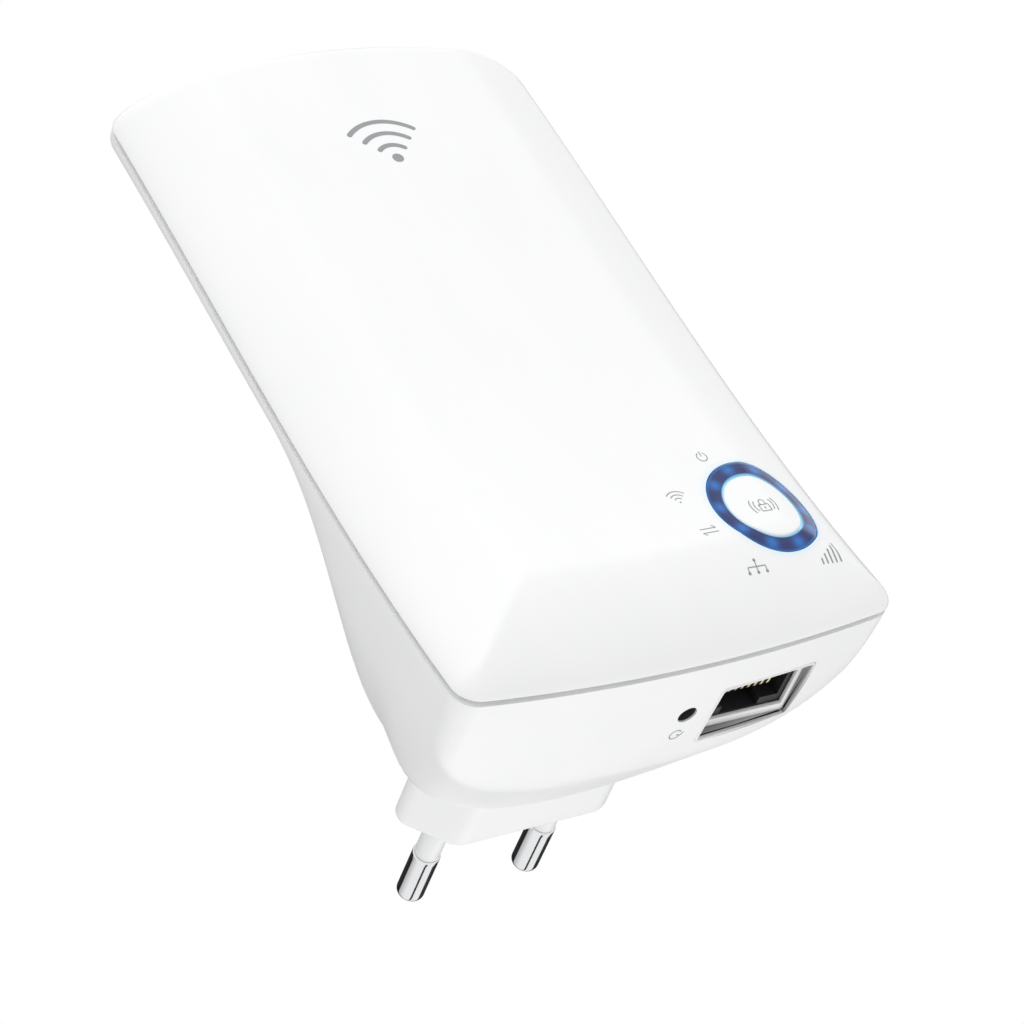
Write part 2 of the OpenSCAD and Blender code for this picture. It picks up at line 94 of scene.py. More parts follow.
SEAM_Y = board_lo.y - 2.4
SEAM_BOW = 2.0
BOW_SHIFT = 1.3
BOTTOM_BULGE = 2.4
TOP_BULGE = 2.9
CORNER_R = 3.4
WALL = 1.7
DOME_H = 7.5
CROWN_H = 1.57
EDGE_W = 13.2
TOP_EDGE_W = 2.6
SEAM_GAP = 1.0
LIP_H = 1.4
LIP_IN = 1.7
LIP_W = 1.0
STEP_W = 2.9
COVER_RIM = 1.5
PLUG_OUT = 7.6
HOUSING_D = -PLUG_OUT - SEAM_Y
PLATE_D = 2.3
PLATE_EDGE = 1.3
END_FACE_D = 21.1
HUMP_TOP = 34.8
HUMP_EDGE = 2.0
HUMP_ROUND = 2.6
FLAT_LOW = -5.8
FLAT_HIGH = 2.2
END_FACE_IN = 1.5
FACE_SPAN = FLAT_LOW - (Z_LOW + END_FACE_IN)
FALL_POWER = 1.29
FALL_ROOT = 0.92

PORT_W = 11.8
PORT_FRONT = board_hi.y + 2.4
PORT_BACK = PORT_FRONT + 8.3
POCKET_FLOOR = jack_lo.z - 0.8
POCKET_X0 = JACK_X - 7.3
POCKET_X1 = JACK_X + 7.5
POCKET_Y0 = PORT_FRONT - 0.4
POCKET_Y1 = PORT_BACK + 1.6


def mix(a, b, t):
    return a + (b - a) * t


def clamp(v, low=0.0, high=1.0):
    return max(low, min(high, v))


def smooth(t):
    u = clamp(t)
    return u * u * (3 - 2 * u)


# ---------------------------------------------------------------- shapes of the two shells


def seam(z):
    t = (z - Z_LOW) / BODY_L
    return SEAM_Y + 4 * t * (1 - t) * (SEAM_BOW + 1.5 * BOW_SHIFT * (1 - 2 * t))


def end_half(a, bulge, r, end_steps, corner_steps):
    big_r = (a * a + bulge * bulge) / (2 * bulge)
    xc = a - r
    uc = big_r - math.sqrt((big_r - r) ** 2 - xc * xc)
    t0 = math.atan2(uc - big_r, xc)
    points = []
    for i in range(end_steps):
        t = mix(-math.pi / 2, t0, i / end_steps)
        points.append((big_r * math.cos(t), big_r + big_r * math.sin(t)))
    for i in range(corner_steps + 1):
        t = t0 * (1 - i / corner_steps)
        points.append((xc + r * math.cos(t), uc + r * math.sin(t)))
    return points


def outline(d, dt, end_steps=26, corner_steps=12, side_steps=64):
    """The body's outline inset by d at the sides and bottom and by dt at the top, as (x, z) points."""
    k = 1 - d / HALF_W
    a = HALF_W - d
    least = 0.4 * a / HALF_W + 0.4
    low = []
    for x, u in end_half(a, BOTTOM_BULGE * k, max(CORNER_R - d, least), end_steps, corner_steps):
        low.append((x, Z_LOW + d + u))
    high = []
    for x, u in end_half(a, TOP_BULGE * k, max(CORNER_R - dt, least), end_steps, corner_steps):
        high.append((x, Z_HIGH - dt - u))
    z0 = low[-1][1]
    z1 = high[-1][1]
    half = list(low)
    for i in range(1, side_steps + 1):
        half.append((a, mix(z0, z1, i / (side_steps + 1))))
    half += reversed(high)
    left = [(-x, z) for x, z in reversed(half[1:-1])]
    return half + left


def cover_h(x, d):
    s = min(d / EDGE_W, 1)
    rise = DOME_H + 0.3 - SEAM_GAP
    edge = rise * max(1 - (1 - s) ** 1.47, 0) ** (1 / 1.47)
    return SEAM_GAP + edge + CROWN_H * s * (1 - (x / HALF_W) ** 2)


def top_inset(d):
    if d < EDGE_W:
        return d * TOP_EDGE_W / EDGE_W
    return TOP_EDGE_W + d - EDGE_W


def cover_ring(d, dt, lower):
    return [(x, seam(z) - cover_h(x, d) + lower, z) for x, z in outline(d, dt)]


def flat_ring(d, dt, off):
    return [(x, seam(z) + off, z) for x, z in outline(d, dt)]


def hump(z):
    full = HOUSING_D - PLATE_D
    face = END_FACE_D - PLATE_D
    if z >= FLAT_LOW:
        return full * smooth((HUMP_TOP - z) / (HUMP_TOP - FLAT_HIGH))
    t = min((FLAT_LOW - z) / FACE_SPAN, 1)
    return face + (full - face) * max(1 - t**FALL_POWER, 0) ** (1 / FALL_ROOT)


def hull_share(x, z):
    t = clamp(-z / (PIN_HEIGHT - END_FACE_IN))
    p = mix(2, 2.5, t)
    q = mix(1.8, 2.4, t)
    return max(1 - min(abs(x) / HALF_W, 1) ** p, 0) ** (1 / q)


def plate(d):
    return PLATE_D * math.sqrt(1 - (1 - min(d / PLATE_EDGE, 1)) ** 2)


def rear_depth(x, z, d):
    rise = (1 - (1 - min(d / HUMP_EDGE, 1)) ** HUMP_ROUND) ** (1 / HUMP_ROUND)
    return plate(d) + hump(z) * hull_share(x, z) * rise


def rear_ring(d):
    return [(x, seam(z) + rear_depth(x, z, d), z) for x, z in outline(d, d)]


def rear_inner_ring(d):
    ring = []
    for x, z in outline(d + WALL, d + WALL):
        depth = rear_depth(x * HALF_W / (HALF_W - WALL), z, d)
        ring.append((x, seam(z) + max(depth - WALL - 0.05, 0.5 * PLATE_D - WALL), z))
    return ring


# ---------------------------------------------------------------- mesh helpers, which take millimetres


def mesh_from(name, points, faces):
    mesh = bpy.data.meshes.new(name)
    mesh.from_pydata([Vector(p) * MM for p in points], [], faces)
    work = bmesh.new()
    work.from_mesh(mesh)
    bmesh.ops.remove_doubles(work, verts=work.verts, dist=1e-7)
    bmesh.ops.recalc_face_normals(work, faces=work.faces)
    work.to_mesh(mesh)
    work.free()
    piece = bpy.data.objects.new(name, mesh)
    bpy.context.scene.collection.objects.link(piece)
    return piece


def shade(piece, angle=None):
    """Smooth shading, with edges above the angle kept sharp."""
    for face in piece.data.polygons:
        face.use_smooth = True
    if angle is not None:
        piece.data.set_sharp_from_angle(angle=math.radians(angle))
    return piece


def loft(name, rings, ends="split"):
    """A skin through rings of points.

    Its ends are closed across from side to side, by one face, by each other, or not at all.
    """
    n = len(rings[0])
    half = n // 2
    last = (len(rings) - 1) * n
    faces = []
    for j in range(len(rings) - 1):
        for i in range(n):
            a = j * n + i
            b = j * n + (i + 1) % n
            faces.append((a, b, b + n, a + n))
    if ends == "split":
        for base in (0, last):
            faces.append((base, base + 1, base + n - 1))
            for i in range(1, half - 1):
                faces.append((base + i, base + i + 1, base + n - i - 1, base + n - i))
            faces.append((base + half - 1, base + half, base + half + 1))
    elif ends == "face":
        faces.append(tuple(range(n)))
        faces.append(tuple(last + i for i in range(n)))
    elif ends == "loop":
        for i in range(n):
            a = last + i
            b = last + (i + 1) % n
            faces.append((a, b, (i + 1) % n, i))
    points = [p for ring in rings for p in ring]
    return mesh_from(name, points, faces)


def lathe(name, profile, x, z, steps=96):
    """Turns a profile of (radius, y) round an axis along Y."""
    rings = []
    for r, y in profile:
        ring = []
        for i in range(steps):
            t = 2 * math.pi * i / steps
            ring.append((x + r * math.cos(t), y, z + r * math.sin(t)))
        rings.append(ring)
    return loft(name, rings, "face")


def box_points(x0, x1, y0, y1, z0, z1):
    return [(x, y, z) for z in (z0, z1) for y in (y0, y1) for x in (x0, x1)]


BOX_FACES = [(0, 1, 3, 2), (4, 6, 7, 5), (0, 4, 5, 1), (2, 3, 7, 6), (0, 2, 6, 4), (1, 5, 7, 3)]


def box_piece(name, x0, x1, y0, y1, z0, z1):
    return mesh_from(name, box_points(x0, x1, y0, y1, z0, z1), BOX_FACES)


def bevelled(piece, width, segments=4, angle=30):
    """Rounds every edge sharper than the angle, for good."""
    work = bmesh.new()
    work.from_mesh(piece.data)
    edges = []
    for edge in work.edges:
        if len(edge.link_faces) == 2 and edge.calc_face_angle() > math.radians(angle):
            edges.append(edge)
    bmesh.ops.bevel(
        work,
        geom=edges,
        offset=width * MM,
        segments=segments,
        profile=0.5,
        affect="EDGES",
        clamp_overlap=True,
    )
    work.to_mesh(piece.data)
    work.free()
    return piece


def cut(piece, tools):
    """Takes the tools' solids out of the piece, for good, and removes the tools."""
    for tool in tools:
        step = piece.modifiers.new("cut", "BOOLEAN")
        step.operation = "DIFFERENCE"
        step.solver = "EXACT"
        step.object = tool
    graph = bpy.context.evaluated_depsgraph_get()
    made = bpy.data.meshes.new_from_object(piece.evaluated_get(graph))
    piece.modifiers.clear()
    piece.data = made
    for tool in tools:
        bpy.data.objects.remove(tool)
    return piece


class Skin:
    """The uncut surface of a shell, to ask for places and normals on it."""

    def __init__(self, piece):
        mesh = piece.data
        self.points = [v.co.copy() for v in mesh.vertices]
        self.normals = [v.normal.copy() for v in mesh.vertices]
        self.faces = [tuple(f.vertices) for f in mesh.polygons]
        self.tree = BVHTree.FromPolygons(self.points, self.faces)

    def normal(self, index, place):
        face = self.faces[index]
        shares = poly_3d_calc([self.points[i] for i in face], place)
        total = Vector((0, 0, 0))
        for share, i in zip(shares, face):
            total += self.normals[i] * share
        return total.normalized()

    def meet(self, origin, direction):
        """Where a ray first meets the skin, in millimetres, and the normal there."""
        place, facing, index, _ = self.tree.ray_cast(Vector(origin) * MM, Vector(direction))
        if place is None:
            return None, None
        return place / MM, self.normal(index, place)


# A face belongs to the uncut skin when it lies this close to it, in metres, and faces about the same way
ON_SKIN = 2e-5
SAME_WAY = 0.75


def keep_normals(piece, skin):
    """Gives a cut shell the smooth normals of its uncut skin, so that a cut leaves no marks."""
    mesh = piece.data
    shade(piece)
    normals = [Vector((0, 0, 1))] * len(mesh.loops)
    for face in mesh.polygons:
        for loop in face.loop_indices:
            place = mesh.vertices[mesh.loops[loop].vertex_index].co
            near, facing, index, distance = skin.tree.find_nearest(place)
            own = face.normal
            if facing is not None and distance < ON_SKIN:
                wanted = skin.normal(index, near)
                if wanted.dot(own) > SAME_WAY:
                    own = wanted
            normals[loop] = own
    mesh.normals_split_custom_set(normals)
    return piece


# ---------------------------------------------------------------- shader helper


class Wire:
    """One shader socket. The usual operators build Math nodes out of it."""

    def __init__(self, tree, socket):
        self.tree = tree
        self.socket = socket

    def maths(self, operation, *others):
        sockets = dict(enumerate((self, *others)))
        return add_node(self.tree, "ShaderNodeMath", {"operation": operation}, sockets)

    def __add__(self, other):
        return self.maths("ADD", other)

    def __radd__(self, other):
        return self.maths("ADD", other)

    def __sub__(self, other):
        return self.maths("SUBTRACT", other)

    def __rsub__(self, other):
        return self.maths("MULTIPLY", -1.0).maths("ADD", other)

    def __mul__(self, other):
        return self.maths("MULTIPLY", other)

    def __rmul__(self, other):
        return self.maths("MULTIPLY", other)

    def __truediv__(self, other):
        return self.maths("DIVIDE", other)

    def __rtruediv__(self, other):
        return self.maths("POWER", -1.0).maths("MULTIPLY", other)

    def __pow__(self, other):
        return self.maths("POWER", other)

    def __rpow__(self, other):
        return add_node(self.tree, "ShaderNodeMath", {"operation": "POWER"}, {0: other, 1: self})

    def between(self, low, high):
        """0 below low, 1 above high, and a soft step between them."""
        sockets = {"Value": self, "From Min": low, "From Max": high}
        return add_node(
            self.tree, "ShaderNodeMapRange", {"interpolation_type": "SMOOTHSTEP"}, sockets, "Result"
        )


def join(tree, value, socket):
    """Puts a wire or a constant on a socket."""
    if isinstance(value, Wire):
        tree.links.new(value.socket, socket)
    else:
        socket.default_value = value


# Sockets of a Mix node in its colour mode
MIX_FACTOR = 0
MIX_A = 6
MIX_B = 7
MIX_RESULT = 2


def add_node(tree, kind, settings=None, sockets=None, output=0):
    """Adds any node: first its settings, then the values or links of its sockets.

    Gives back the wire of one output, or a list of wires where output is a list.
    """
    node = tree.nodes.new(kind)
    for key, value in (settings or {}).items():
        setattr(node, key, value)
    for key, value in (sockets or {}).items():
        join(tree, value, node.inputs[key])
    if isinstance(output, list):
        return [Wire(tree, node.outputs[i]) for i in output]
    return Wire(tree, node.outputs[output])


class Finish:
    """A material under construction: a Principled shader and what feeds it."""

    def __init__(self, name, **constants):
        self.material = bpy.data.materials.new(name)
        self.material.use_nodes = True
        self.tree = self.material.node_tree
        self.shader = self.tree.nodes["Principled BSDF"]
        for key, value in constants.items():
            self.shader.inputs[key.replace("_", " ")].default_value = value

    def node(self, kind, settings=None, output=0, **sockets):
        """Adds any node to this material."""
        return add_node(self.tree, kind, settings, sockets, output)

    def place(self):
        """The point being shaded, in the part's own frame, in metres."""
        return self.node("ShaderNodeTexCoord", output="Object")

    def axes(self):
        """Its x, y and z in millimetres."""
        split = self.node("ShaderNodeSeparateXYZ", output=[0, 1, 2], Vector=self.place())
        return [axis * 1000.0 for axis in split]

    def noise(self, size_mm, detail=3.0, roughness=0.55, stretch=None):
        where = self.place()
        if stretch is not None:
            where = self.node("ShaderNodeMapping", Vector=where, Scale=stretch)
        return self.node(
            "ShaderNodeTexNoise",
            output="Fac",
            Vector=where,
            Scale=1000.0 / size_mm,
            Detail=detail,
            Roughness=roughness,
        )

    def cells(self, size_mm, randomness=1.0):
        return self.node(
            "ShaderNodeTexVoronoi",
            output="Distance",
            Vector=self.place(),
            Scale=1000.0 / size_mm,
            Randomness=randomness,
        )

    def blend(self, factor, a, b):
        """A colour between a and b."""
        sockets = {MIX_FACTOR: factor, MIX_A: a, MIX_B: b}
        return add_node(self.tree, "ShaderNodeMix", {"data_type": "RGBA"}, sockets, MIX_RESULT)

    def feed(self, name, value):
        join(self.tree, value, self.shader.inputs[name])
        return self

    def tint(self, share, colour):
        """Blends a share of a colour over the base colour that is there already."""
        base = self.shader.inputs["Base Color"].links[0].from_socket
        return self.feed("Base Color", self.blend(share, Wire(self.tree, base), colour))

    def bump(self, height, depth_mm, strength=1.0):
        normal = self.node("ShaderNodeBump", Strength=strength, Distance=depth_mm * MM, Height=height)
        return self.feed("Normal", normal)


def rgb(r, g, b):
    return (r, g, b, 1.0)


def moulded(name, dark, light, rough, spread, grain_mm, depth_mm, coat=0.0):
    """Moulded plastic: a fine spark-eroded grain, faint flow marks and uneven gloss."""
    made = Finish(name, Coat_Roughness=0.12, Coat_IOR=1.5, IOR=1.5)
    flow = made.noise(9.0, 3.0, stretch=(1.0, 1.0, 0.35))
    speck = made.noise(grain_mm * 3, 2.0)
    grain = made.noise(grain_mm, 4.0, 0.6) * 0.7 + made.cells(grain_mm * 1.7) * 0.3
    made.feed("Base Color", made.blend(flow * 0.75 + speck * 0.25, dark, light))
    made.feed("Roughness", rough + (flow * 0.6 + grain * 0.4 - 0.5) * spread)
    if coat:
        made.feed("Coat Weight", coat + (speck - 0.5) * 0.1)
    made.bump(grain, depth_mm)
    return made


def metal(name, dark, light, rough, spread, stretch, line_mm, depth_mm):
    """Worked metal: fine lines along one direction, small pits and uneven shine."""
    made = Finish(name, Metallic=1.0)
    lines = made.noise(line_mm, 4.0, 0.65, stretch)
    cloud = made.noise(2.5, 3.0)
    pits = made.cells(0.35).between(0.0, 0.12)
    made.feed("Base Color", made.blend(lines * 0.5 + cloud * 0.5, dark, light))
    made.feed("Roughness", rough + (lines + cloud - 1.0) * spread)
    made.bump(lines * 0.8 + pits * 0.2, depth_mm)
    return made


def stuff(name, dark, light, rough, grain_mm, depth_mm, metallic=0.0):
    """The plain matter of an inner part, with its own grain."""
    made = Finish(name, Metallic=metallic)
    cloud = made.noise(grain_mm * 6, 3.0)
    grain = made.noise(grain_mm, 3.0, 0.6)
    made.feed("Base Color", made.blend(cloud * 0.6 + grain * 0.4, dark, light))
    made.feed("Roughness", rough + (cloud - 0.5) * 0.2)
    made.bump(grain, depth_mm)
    return made


# ---------------------------------------------------------------- finishes

cover_finish = moulded(
    "cover plastic with painted ring glow", rgb(0.86, 0.865, 0.87), rgb(0.92, 0.92, 0.925), 0.3, 0.08, 0.12, 0.0012, coat=0.25
)
cover_x, _, cover_z = cover_finish.axes()
off_x = cover_x - RING_X
off_z = cover_z - RING_Z
ring_gap = (off_x * off_x + off_z * off_z) ** 0.5 - RING_R
# Painted light: a cyan glow painted into the cover's colour just round the ring, where the ring's light falls
# on the cover
painted_ring_glow = (1.0 - ring_gap.between(0.0, 1.7)) ** 2.0
cover_finish.tint(painted_ring_glow * 0.3, rgb(0.45, 0.78, 0.95))

housing_finish = moulded(
    "housing plastic", rgb(0.84, 0.845, 0.85), rgb(0.9, 0.9, 0.905), 0.4, 0.1, 0.16, 0.003, coat=0.0
)
button_finish = moulded(
    "button plastic", rgb(0.87, 0.875, 0.88), rgb(0.92, 0.92, 0.925), 0.28, 0.06, 0.1, 0.001, coat=0.3
)
plug_finish = moulded(
    "plug plastic", rgb(0.83, 0.835, 0.84), rgb(0.89, 0.89, 0.895), 0.38, 0.1, 0.14, 0.003, coat=0.0
)
pocket_finish = moulded(
    "pocket plastic with painted shade", rgb(0.8, 0.805, 0.81), rgb(0.87, 0.87, 0.875), 0.42, 0.1, 0.12, 0.002, coat=0.0
)
sleeve_finish = moulded(
    "sleeve plastic", rgb(0.78, 0.785, 0.79), rgb(0.85, 0.855, 0.86), 0.36, 0.12, 0.08, 0.002, coat=0.0
)
# Painted shade: the pocket's rear and right walls are darkened in their colour, deepest at the rear left,
# where the walls lie in shade
px, py, pz = pocket_finish.axes()
depth_in = (pz - (Z_LOW + 1.1)).between(-0.4, 0.5)
to_left = 1.0 - (px - POCKET_X0).between(0.0, 14.0)
rear_side = (py - POCKET_Y1 + 0.35).between(0.0, 0.2)
right_side = (px - POCKET_X1 + 0.3).between(0.0, 0.2)
painted_shade = depth_in * (rear_side * (0.45 + to_left * 0.45) + right_side * 0.75).maths("MINIMUM", 0.9)
pocket_finish.tint(painted_shade, rgb(0.13, 0.13, 0.135))
# Painted shade: the reset hole's tube gets a near-black colour that stands for the shade deep in the hole;
# its wall is white plastic
hole_painted_shade = moulded(
    "hole wall painted shade", rgb(0.03, 0.03, 0.033), rgb(0.07, 0.07, 0.073), 0.5, 0.1, 0.1, 0.003, coat=0.0
)
jack_finish = moulded(
    "jack plastic", rgb(0.008, 0.008, 0.009), rgb(0.018, 0.018, 0.02), 0.45, 0.15, 0.08, 0.004, coat=0.0
)

ink_finish = Finish("printed ink")
ink_cloud = ink_finish.noise(0.3, 3.0)
ink_finish.feed("Base Color", ink_finish.blend(ink_cloud, rgb(0.26, 0.27, 0.285), rgb(0.34, 0.35, 0.365)))
ink_finish.feed("Roughness", 0.42 + ink_cloud * 0.16)
ink_finish.bump(ink_finish.noise(0.05, 2.0), 0.0015)

# The light guide: a deep blue body with ten bright spots, one over each lamp, and a pale inner edge
guide = Finish("light guide", Roughness=0.14, Coat_Weight=0.15, Coat_Roughness=0.08, Emission_Strength=1.0)
gx, _, gz = guide.axes()
off_x = gx - RING_X
off_z = gz - RING_Z
radius = (off_x * off_x + off_z * off_z) ** 0.5
turn = off_z.maths("ARCTAN2", off_x)
middle = (RING_R + RING_IN_R) / 2
wave = (turn * 10.0 + 0.9).maths("COSINE") * 0.5 + 0.5
across = (radius - middle - 0.1) / 0.85
spot = (wave ** 2.2) * (across * across * -1.0).maths("EXPONENT")
inner_edge = 1.0 - (radius - RING_IN_R).between(0.0, 0.38)
outer_edge = (radius - RING_R + 0.45).between(0.0, 0.4)
haze = guide.noise(0.5, 3.0)
blue = guide.blend(spot * 0.9 + (haze - 0.5) * 0.06, rgb(0.0, 0.008, 0.075), rgb(0.0, 0.11, 0.38))
blue = guide.blend(inner_edge * 0.8, blue, rgb(0.3, 0.75, 1.0))
blue = guide.blend(outer_edge * 0.35, blue, rgb(0.02, 0.3, 0.75))
guide.feed("Emission Color", blue)
guide.feed("Base Color", guide.blend(spot, rgb(0.001, 0.008, 0.05), rgb(0.004, 0.04, 0.16)))
guide.bump(guide.noise(0.18, 3.0), 0.001)

chrome_finish = metal(
    "plated pin", rgb(0.74, 0.745, 0.755), rgb(0.84, 0.845, 0.855), 0.09, 0.05, (1.0, 0.1, 1.0), 0.06, 0.0006
)
steel_finish = metal(
    "plated steel", rgb(0.55, 0.56, 0.58), rgb(0.7, 0.71, 0.73), 0.3, 0.12, (1, 1, 0.1), 0.12, 0.002
)
brass_finish = metal(
    "stamped brass", rgb(0.66, 0.47, 0.2), rgb(0.82, 0.63, 0.32), 0.3, 0.12, (1, 1, 0.1), 0.12, 0.002
)
gold_finish = metal(
    "gold plating", rgb(0.86, 0.72, 0.46), rgb(0.95, 0.83, 0.6), 0.2, 0.08, (1, 1, 0.1), 0.05, 0.001
)
label_finish = metal(
    "label foil", rgb(0.62, 0.63, 0.65), rgb(0.74, 0.75, 0.77), 0.4, 0.1, (0.1, 1, 1), 0.1, 0.001
)

SLOT_FINISH = {
    "baffle_black": stuff("baffle plastic", rgb(0.02, 0.02, 0.022), rgb(0.05, 0.05, 0.055), 0.6, 0.12, 0.004),
    "switch_black": stuff(
        "switch plastic", rgb(0.015, 0.015, 0.016), rgb(0.04, 0.04, 0.042), 0.45, 0.1, 0.003
    ),
    "steel": steel_finish,
    "pin_metal": chrome_finish,
    "brass": brass_finish,
    "jack_black": jack_finish,
    "contact_gold": gold_finish,
    "board_green": stuff(
        "green solder mask", rgb(0.008, 0.1, 0.035), rgb(0.02, 0.19, 0.07), 0.3, 0.2, 0.004
    ),
    "led_lens": stuff("lamp lens", rgb(0.7, 0.82, 0.92), rgb(0.85, 0.95, 1.0), 0.15, 0.1, 0.001),
    "chip_black": stuff("chip resin", rgb(0.012, 0.012, 0.014), rgb(0.035, 0.035, 0.038), 0.5, 0.08, 0.004),
    "board_tan": stuff("bare laminate", rgb(0.3, 0.2, 0.08), rgb(0.45, 0.32, 0.15), 0.55, 0.25, 0.006),
    "ferrite": stuff("ferrite", rgb(0.03, 0.03, 0.033), rgb(0.08, 0.08, 0.085), 0.6, 0.15, 0.008),
    "winding_tape": stuff("winding tape", rgb(0.62, 0.42, 0.04), rgb(0.8, 0.58, 0.1), 0.35, 0.3, 0.006),
    "capacitor_sleeve": stuff(
        "capacitor sleeve", rgb(0.01, 0.014, 0.04), rgb(0.03, 0.035, 0.08), 0.28, 0.2, 0.002
    ),
    "fuse_brown": stuff("fuse body", rgb(0.13, 0.045, 0.015), rgb(0.22, 0.09, 0.035), 0.45, 0.15, 0.003),
    "cable_black": stuff("cable jacket", rgb(0.01, 0.01, 0.011), rgb(0.03, 0.03, 0.032), 0.5, 0.1, 0.004),
    "sheet_grey": stuff("insulating film", rgb(0.5, 0.5, 0.51), rgb(0.62, 0.62, 0.63), 0.35, 0.3, 0.002),
    "cover_white": cover_finish,
    "housing_white": housing_finish,
    "button_white": button_finish,
    "ring_blue": guide,
    "sleeve_grey": sleeve_finish,
    "label_silver": label_finish,
}


def dress(piece, finish):
    piece.data.materials.clear()
    piece.data.materials.append(finish.material)
    return piece


def settle(piece, finish, body, slot, *nodes):
    """The last steps for a piece: its material, body and the CAD nodes it stands for; slot is not used."""
    dress(piece, finish)
    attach(piece, body)
    if nodes:
        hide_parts(*nodes)
    return piece


for part in frame["record"]["subparts"]:
    node = frame["nodes"][part["node"]]
    dress(node, SLOT_FINISH[part["material_slot"]])

# ---------------------------------------------------------------- front cover


def eased(low, high, count, power=1.0):
    return [mix(low, high, (i / count) ** power) for i in range(count + 1)]


cover_insets = [0, 0.04, 0.1, 0.18] + eased(0.3, EDGE_W, 26, 1.5)
cover_insets += [14.2, 15.5, 17, 19, 21, 23, 25, 27, 29, 30.5, 31.8]
outer_rings = [cover_ring(d, top_inset(d), 0) for d in cover_insets]
inner_insets = [29, 24, 18, 13.2, 10.4, 8, 6, 4.6, 3.6]
inner_rings = [cover_ring(d, STEP_W + top_inset(d), WALL) for d in inner_insets]
rim_rings = [flat_ring(STEP_W, STEP_W, -LIP_H), flat_ring(COVER_RIM, COVER_RIM, -LIP_H)]
rim_rings += [flat_ring(COVER_RIM, COVER_RIM, -SEAM_GAP)]
cover = loft("cover_shell", inner_rings + rim_rings + outer_rings)
cover_skin = Skin(cover)
hole_r = RING_R + 0.09
hole = lathe("hole_tool", [(hole_r, -90), (hole_r, SEAM_Y)], RING_X, RING_Z, 160)
cut(cover, [hole])
keep_normals(cover, cover_skin)
settle(cover, cover_finish, "casing", "cover_white", "front_cover")


def front_at(x, z):
    """Y of the cover's outer skin at a place on the face."""
    place, _ = cover_skin.meet((x, -90, z), (0, 1, 0))
    return place.y


# ---------------------------------------------------------------- ring, button cap


def polar_rings(profile, x, z, steps=240):
    """Rings of points round a centre on the face, each at a radius and a depth behind the cover's skin."""
    rings = []
    for r, depth in profile:
        ring = []
        for i in range(steps):
            t = 2 * math.pi * i / steps
            px = x + r * math.cos(t)
            pz = z + r * math.sin(t)
            ring.append((px, front_at(px, pz) + depth, pz))
        rings.append(ring)
    return rings


def rounded_edge(r, inward, radius, sink, count=6):
    """Profile of a rounded edge at radius r: from the wall to the top, where inward is -1 or 1."""
    points = []
    for i in range(count + 1):
        t = math.pi / 2 * i / count
        points.append((r + inward * radius * (1 - math.cos(t)), sink + radius * (1 - math.sin(t))))
    return points


outer_side = [(RING_R, 3.0), (RING_R, 1.0)] + rounded_edge(RING_R, -1, 0.35, 0.06)
ring_middle = [(mix(RING_R - 0.5, RING_IN_R + 0.5, i / 8), 0.03 + 0.03 * abs(i / 4 - 1)) for i in range(9)]
inner_r = RING_IN_R + 0.02
inner_side = list(reversed(rounded_edge(inner_r, 1, 0.3, 0.06))) + [(inner_r, 1.0), (inner_r, 3.0)]
ring_profile = outer_side + ring_middle + inner_side
ring = loft("light_ring_guide", polar_rings(ring_profile, RING_X, RING_Z), "loop")
shade(ring, 50)
settle(ring, guide, "casing", "ring_blue", "light_ring")

cap_top = [(CAP_R, 2.2), (CAP_R, 1.0)] + rounded_edge(CAP_R, -1, 0.3, 0.05)
cap_top += [(r, 0.05 - 0.02 * (1 - r / 5.0)) for r in (4.7, 4.2, 3.6, 3.0, 2.4, 1.8, 1.2, 0.6, 0.15)]
cap = loft("button_cap_shell", polar_rings(cap_top, RING_X, RING_Z), "face")
shade(cap, 50)
settle(cap, button_finish, "button", "button_white", "button_cap")

# ---------------------------------------------------------------- rear housing

rear_insets = [0, 0.005, 0.015, 0.035, 0.07, 0.12, 0.2, 0.3, 0.42, 0.56]
rear_insets += [0.72, 0.88, 1.04, 1.18, 1.32, 1.5, 1.8, 2.1]
rear_insets += eased(2.5, 31.6, 30, 1.25)
outer = [rear_ring(d) for d in reversed(rear_insets)]
lip = [flat_ring(LIP_IN, LIP_IN, 0), flat_ring(LIP_IN, LIP_IN, -LIP_H)]
lip += [flat_ring(LIP_IN + LIP_W, LIP_IN + LIP_W, -LIP_H), flat_ring(LIP_IN + LIP_W, LIP_IN + LIP_W, -0.2)]
inner = [rear_inner_ring(d) for d in (1.5, 2.5, 4, 6, 8.6, 11.6, 15.4, 20, 25, 29)]
housing = loft("housing_shell", outer + lip + inner)
housing_skin = Skin(housing)


def end_at(x, y):
    """Z of the housing's bottom end at a place on it."""
    place, _ = housing_skin.meet((x, y, -60), (0, 0, 1))
    return place.z


def rounded_rectangle(x0, x1, y0, y1, r, steps=6):
    points = []
    for cx, cy, start in ((x1 - r, y1 - r, 0), (x0 + r, y1 - r, 1), (x0 + r, y0 + r, 2), (x1 - r, y0 + r, 3)):
        for i in range(steps + 1):
            t = math.pi / 2 * (start + i / steps)
            points.append((cx + r * math.cos(t), cy + r * math.sin(t)))
    return points


def section(w, h, tip, grow, corner, steps=5):
    """The plug's long six-sided section with rounded corners, as (x, z) points."""
    w = w + grow
    h = h + grow
    side = w - h + tip
    corners = [(-w, -tip), (-side, -h), (side, -h), (w, -tip), (w, tip), (side, h), (-side, h), (-w, tip)]
    points = []
    for i, c in enumerate(corners):
        before = Vector(corners[i - 1]) - Vector(c)
        after = Vector(corners[(i + 1) % len(corners)]) - Vector(c)
        reach = min(corner, before.length * 0.45, after.length * 0.45)
        start = Vector(c) + before.normalized() * reach
        end = Vector(c) + after.normalized() * reach
        for j in range(steps + 1):
            t = j / steps
            point = start * (1 - t) ** 2 + Vector(c) * 2 * t * (1 - t) + end * t * t
            points.append((point.x, point.y))
    return points


